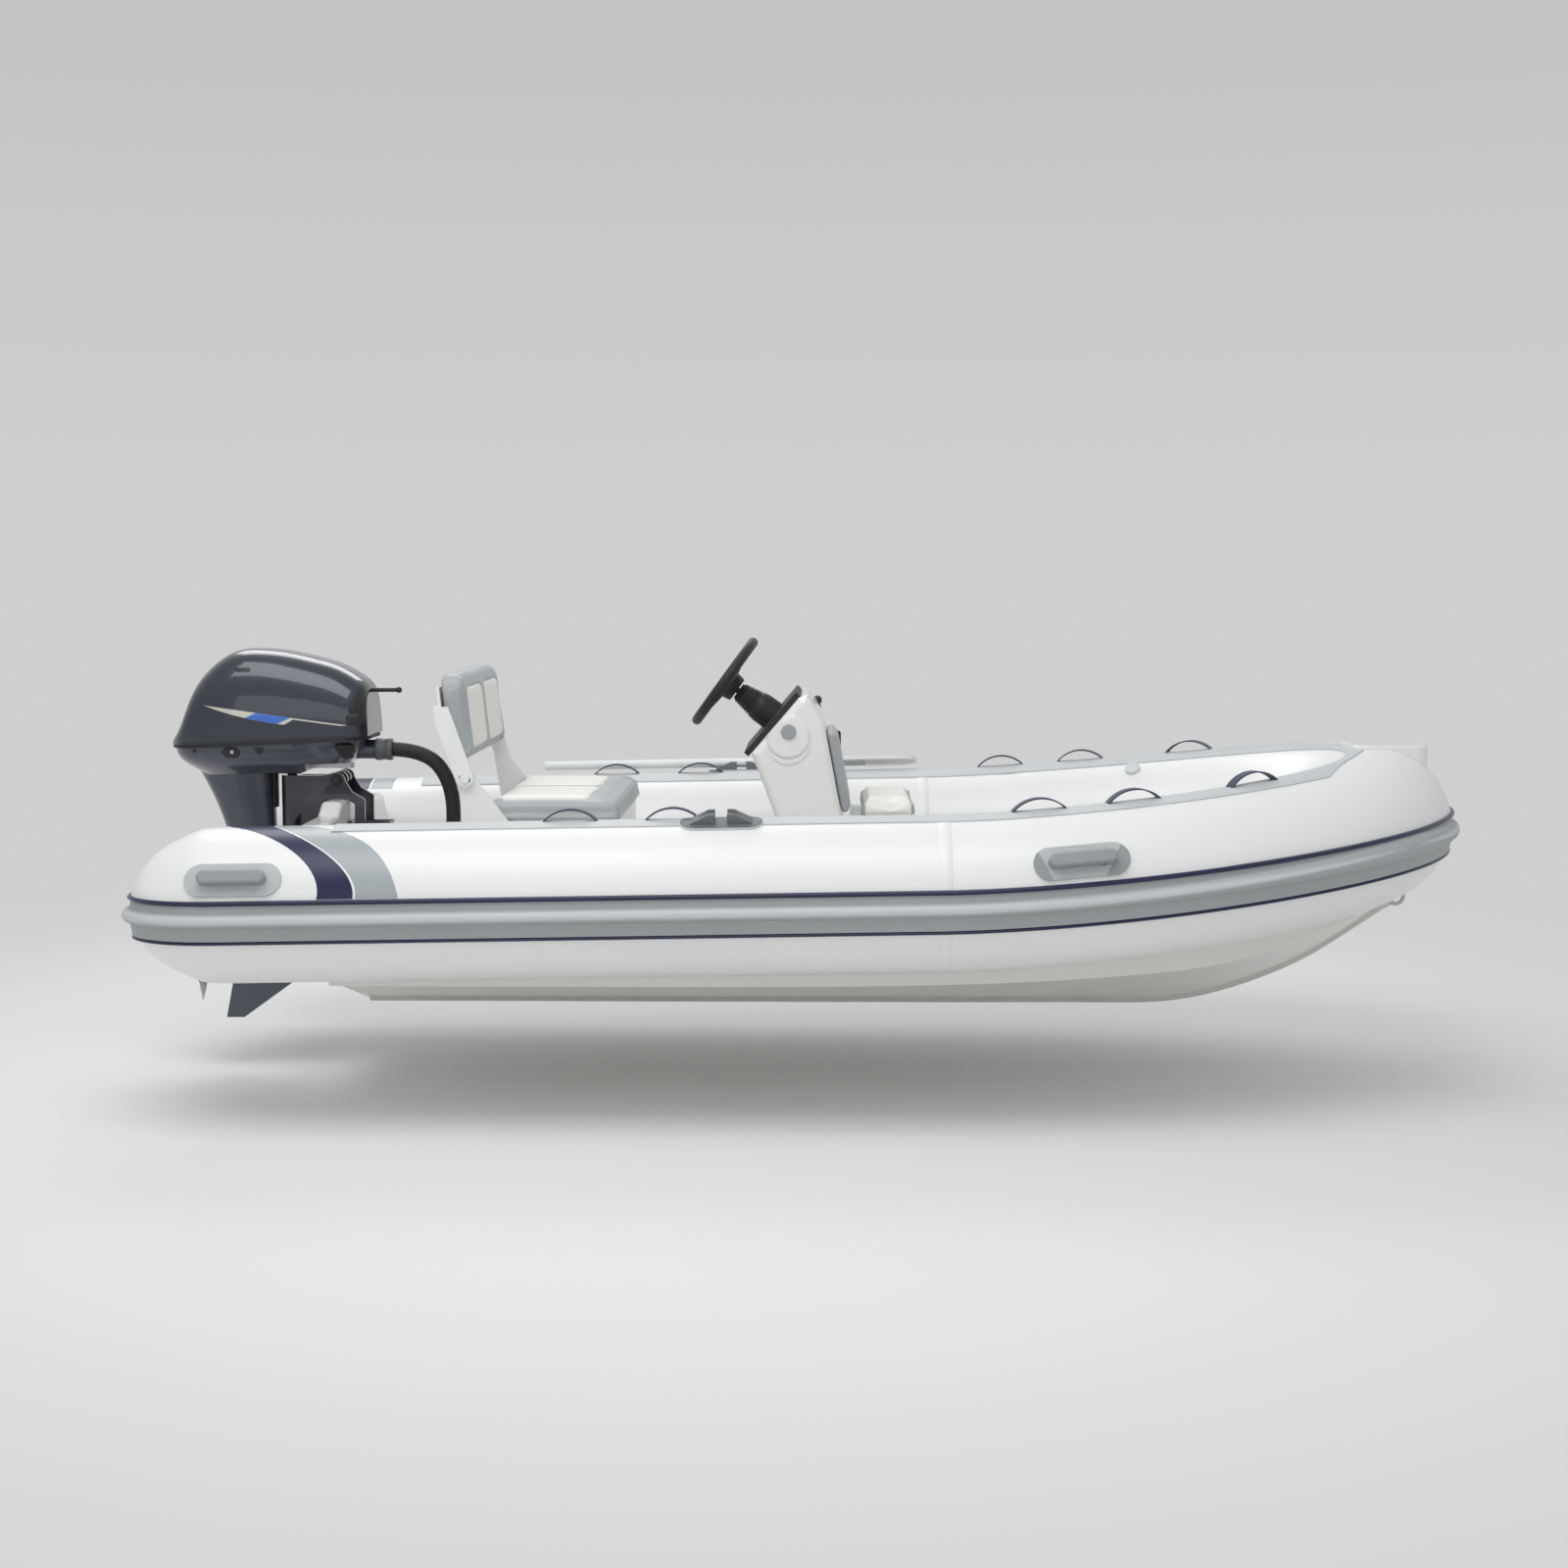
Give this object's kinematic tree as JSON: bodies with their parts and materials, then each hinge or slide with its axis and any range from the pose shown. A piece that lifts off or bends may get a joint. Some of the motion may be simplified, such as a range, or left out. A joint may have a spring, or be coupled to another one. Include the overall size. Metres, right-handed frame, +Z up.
{
  "type": "inflatable rib boat",
  "caption": "Rigid inflatable boat with V hull, buoyancy collar, helm console, folding bench backrest and a tilting, steering outboard.",
  "frame": {"origin": "on the centreline at the waterline, at midship", "axes": "+X forward to the bow, +Y to port, +Z up; the pictured side is starboard, -Y"},
  "size_m": [3.7095, 1.8328, 1.1185],
  "materials": {
    "tube": "matte coated fabric",
    "fender": "matte",
    "patch": "matte, textured",
    "gelcoat": "gloss gelcoat",
    "guard": "matte",
    "deck": "non-skid",
    "webbing": "woven",
    "grip": "matte",
    "black_plastic": "satin",
    "paddle": "satin",
    "steel": "brushed",
    "dash": "matte",
    "upholstery": "vinyl",
    "wheel": "soft matte",
    "bench_metal": "gloss paint",
    "bracket": "satin paint",
    "engine_grey": "satin paint",
    "seal": "matte",
    "cowl": "metallic gloss paint",
    "block": "rough",
    "propeller": "satin paint",
    "hose": "ribbed matte"
  },
  "bodies": {
    "boat": {"tube_starboard": "tube", "tube_port": "tube", "tube_bow": "tube", "fender": "fender", "wear_patches": "patch", "hull": "gelcoat", "keel_guard": "guard", "deck": "deck", "bow_locker": "gelcoat", "transom": "gelcoat", "grab_handles": "webbing", "lift_handles": "grip", "oar_clips": "grip", "valves": "black_plastic", "paddle": "paddle", "nose_plate": "gelcoat", "bow_eye": "steel", "console_shell": "gelcoat", "console_cap": "grip", "console_dash": "dash", "console_cushion": "upholstery", "helm_hub": "black_plastic", "remote_control": "black_plastic", "front_seat": "gelcoat", "front_cushion": "upholstery", "seat_base": "gelcoat", "seat_arms": "bench_metal", "seat_cushion": "upholstery", "clamp_bracket": "bracket", "deck_gland": "black_plastic", "rigging_hose": "hose"},
    "backrest": {"backrest_frame": "bench_metal", "backrest_cushion": "upholstery"},
    "wheel": {"steering_wheel": "wheel"},
    "bracket": {"swivel_bracket": "bracket"},
    "engine": {"swivel_pin": "bracket", "steering_arm": "steel", "engine_pan": "engine_grey", "cowl_seal": "seal", "engine_cowl": "cowl", "cowl_handle": "black_plastic", "engine_block": "block", "engine_casing": "engine_grey", "gearcase": "engine_grey"},
    "propeller": {"propeller": "propeller"}
  },
  "joints": [
    {"name": "engine_tilt", "type": "hinge", "parent": "boat", "child": "bracket", "pos_m": [-1.42, 0, 0.46], "axis": [0, 1, 0], "range_deg": [0, 65], "deforming": ["rigging_hose"]},
    {"name": "engine_steer", "type": "hinge", "parent": "bracket", "child": "engine", "pos_m": [-1.565, 0, 0.3], "axis": [0, 0, 1], "range_deg": [-35, 35]},
    {"name": "propeller_spin", "type": "hinge", "parent": "engine", "child": "propeller", "pos_m": [-1.843, 0, -0.085], "axis": [1, 0, 0], "continuous": true},
    {"name": "wheel_turn", "type": "hinge", "parent": "boat", "child": "wheel", "pos_m": [-0.287, 0, 0.735], "axis": [-0.809, 0, 0.5878], "range_deg": [-540, 540]},
    {"name": "backrest_fold", "type": "hinge", "parent": "boat", "child": "backrest", "pos_m": [-1, 0, 0.495], "axis": [0, 1, 0], "range_deg": [0, 80]}
  ],
  "couplings": [
    {"joint": "wheel_turn", "follows": "engine_steer", "ratio": -15.4}
  ]
}
